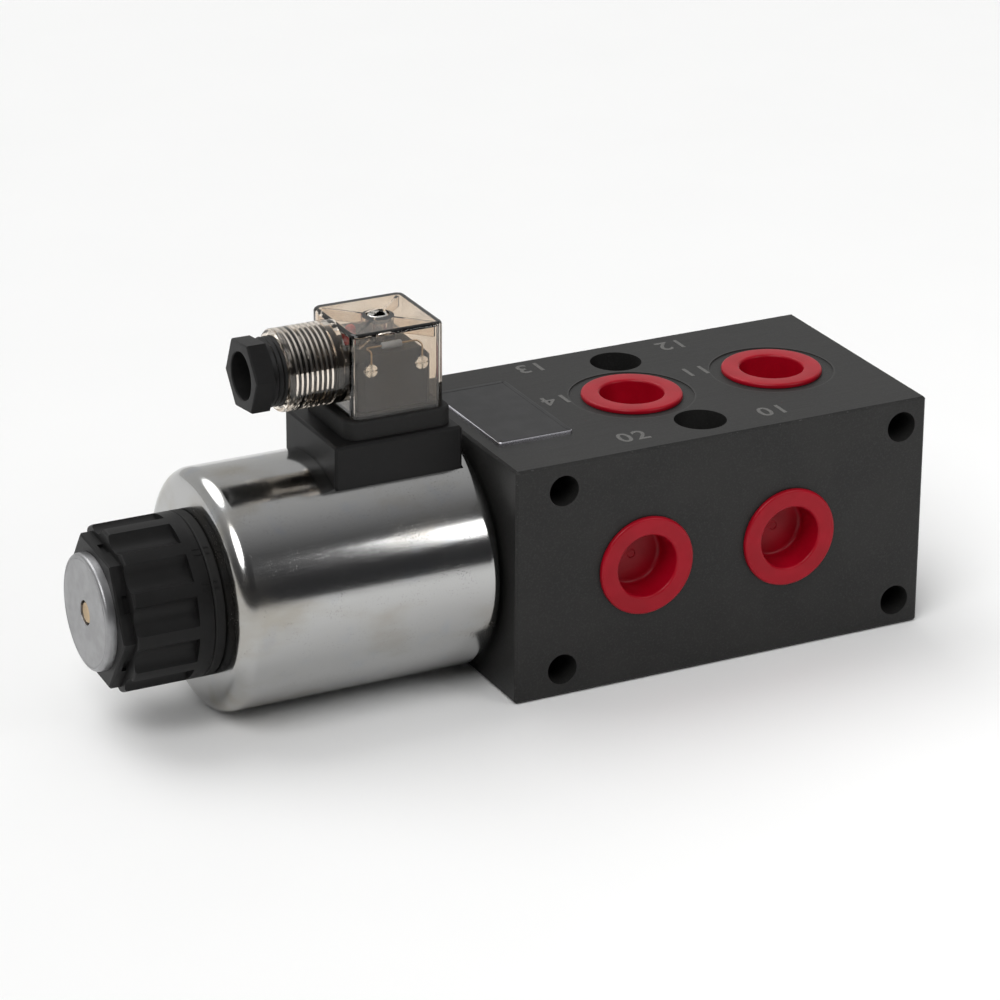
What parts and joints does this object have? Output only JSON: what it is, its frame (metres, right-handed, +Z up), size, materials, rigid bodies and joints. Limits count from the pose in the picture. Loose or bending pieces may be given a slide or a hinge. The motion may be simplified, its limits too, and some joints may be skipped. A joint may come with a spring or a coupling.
{
  "type": "solenoid directional valve",
  "caption": "Black steel block valve with red plugged ports, a bright round solenoid held by a fluted nut, and a clear plug connector with a cable gland.",
  "frame": {"origin": "centre of the valve block's bottom face", "axes": "+X along the spool bore away from the coil, +Y to the block's back, +Z up"},
  "size_m": [0.2502, 0.0788, 0.1076],
  "materials": {
    "black_steel": "black oxide satin",
    "spool_steel": "ground",
    "zinc_plate": "zinc plated",
    "tube_nickel": "satin nickel",
    "coil_chrome": "bright zinc",
    "black_plastic": "moulded",
    "seal_rubber": "matt",
    "copper_wire": "enamelled",
    "brass": "plain",
    "bobbin_plastic": "moulded",
    "clear_plastic": "smoky clear",
    "grey_plastic": "moulded",
    "bright_screw": "bright",
    "led_red": "clear red",
    "resistor_body": "lacquered",
    "cap_red": "moulded",
    "plate_metal": "anodised"
  },
  "bodies": {
    "valve_block": {"valve_body": "black_steel", "label_plate": "plate_metal", "end_plug": "zinc_plate", "end_plug_seal": "seal_rubber", "return_spring": "spool_steel", "core_tube": "tube_nickel", "pole_piece": "spool_steel", "tube_seal": "seal_rubber", "air_gap_shim": "brass", "override_pin_seal": "seal_rubber", "coil_seal": "seal_rubber"},
    "spool": {"spool": "spool_steel", "spring_seat": "zinc_plate"},
    "armature": {"armature": "spool_steel", "push_rod": "spool_steel"},
    "override_pin": {"override_pin": "brass"},
    "coil": {"coil_shell": "coil_chrome", "coil_end_plate": "coil_chrome", "coil_bobbin": "bobbin_plastic", "coil_winding": "copper_wire", "connector_base": "black_plastic", "terminal_blades": "zinc_plate", "threaded_insert": "brass"},
    "nut_seal": {"nut_seal": "seal_rubber"},
    "coil_nut": {"coil_nut": "black_plastic"},
    "connector": {"connector_gasket": "seal_rubber", "connector_cover": "clear_plastic", "terminal_block": "grey_plastic", "contact_clips": "brass", "terminal_screws": "bright_screw", "indicator_led": "led_red", "resistor": "resistor_body", "component_leads": "brass", "gland_grommet": "seal_rubber"},
    "screw_seal": {"screw_seal": "seal_rubber"},
    "cover_screw": {"cover_screw": "bright_screw"},
    "gland_washer": {"gland_washer": "black_plastic"},
    "gland_nut": {"gland_nut": "black_plastic"},
    "port_plug_front_left": {"port_plug_front_left": "cap_red"},
    "port_plug_top_left": {"port_plug_top_left": "cap_red"},
    "port_plug_back_left": {"port_plug_back_left": "cap_red"},
    "port_plug_front_right": {"port_plug_front_right": "cap_red"},
    "port_plug_top_right": {"port_plug_top_right": "cap_red"},
    "port_plug_back_right": {"port_plug_back_right": "cap_red"}
  },
  "joints": [
    {"name": "spool_slide", "type": "slide", "parent": "valve_block", "child": "spool", "axis": [1, 0, 0], "range_m": [0, 0.0045], "stiffness_N_per_m": 3000, "springref_m": -0.004, "deforming": ["return_spring"]},
    {"name": "armature_slide", "type": "slide", "parent": "valve_block", "child": "armature", "axis": [1, 0, 0], "range_m": [0, 0.0045]},
    {"name": "override_pin_slide", "type": "slide", "parent": "valve_block", "child": "override_pin", "axis": [1, 0, 0], "range_m": [0, 0.0045]},
    {"name": "coil_swivel", "type": "hinge", "parent": "valve_block", "child": "coil", "pos_m": [-0.1055, 0, 0.035], "axis": [1, 0, 0], "continuous": true},
    {"name": "nut_seal_travel", "type": "slide", "parent": "valve_block", "child": "nut_seal", "axis": [-1, 0, 0], "range_m": [0, 0.018]},
    {"name": "coil_nut_turn", "type": "hinge", "parent": "nut_seal", "child": "coil_nut", "pos_m": [-0.1605, 0, 0.035], "axis": [-1, 0, 0], "range_deg": [0, 4320]},
    {"name": "connector_lift", "type": "slide", "parent": "coil", "child": "connector", "axis": [0, 0, 1], "range_m": [0, 0.025]},
    {"name": "screw_seal_travel", "type": "slide", "parent": "connector", "child": "screw_seal", "axis": [0, 0, 1], "range_m": [0, 0.003]},
    {"name": "cover_screw_turn", "type": "hinge", "parent": "screw_seal", "child": "cover_screw", "pos_m": [-0.0893, 0, 0.1076], "axis": [0, 0, 1], "range_deg": [0, 2160]},
    {"name": "gland_washer_travel", "type": "slide", "parent": "connector", "child": "gland_washer", "axis": [-1, 0, 0], "range_m": [0, 0.0075]},
    {"name": "gland_nut_turn", "type": "hinge", "parent": "gland_washer", "child": "gland_nut", "pos_m": [-0.1303, 0, 0.096], "axis": [-1, 0, 0], "range_deg": [0, 1800]},
    {"name": "port_plug_front_left_pull", "type": "slide", "parent": "valve_block", "child": "port_plug_front_left", "axis": [0, -1, 0], "range_m": [0, 0.02]},
    {"name": "port_plug_top_left_pull", "type": "slide", "parent": "valve_block", "child": "port_plug_top_left", "axis": [0, 0, 1], "range_m": [0, 0.02]},
    {"name": "port_plug_back_left_pull", "type": "slide", "parent": "valve_block", "child": "port_plug_back_left", "axis": [0, 1, 0], "range_m": [0, 0.02]},
    {"name": "port_plug_front_right_pull", "type": "slide", "parent": "valve_block", "child": "port_plug_front_right", "axis": [0, -1, 0], "range_m": [0, 0.02]},
    {"name": "port_plug_top_right_pull", "type": "slide", "parent": "valve_block", "child": "port_plug_top_right", "axis": [0, 0, 1], "range_m": [0, 0.02]},
    {"name": "port_plug_back_right_pull", "type": "slide", "parent": "valve_block", "child": "port_plug_back_right", "axis": [0, 1, 0], "range_m": [0, 0.02]}
  ],
  "couplings": [
    {"joint": "armature_slide", "follows": "spool_slide", "ratio": 1},
    {"joint": "override_pin_slide", "follows": "spool_slide", "ratio": 1},
    {"joint": "nut_seal_travel", "follows": "coil_nut_turn", "m_per_rad": 0.00023873},
    {"joint": "cover_screw_turn", "follows": "screw_seal_travel", "rad_per_m": 12566},
    {"joint": "gland_washer_travel", "follows": "gland_nut_turn", "m_per_rad": 0.00023873}
  ]
}
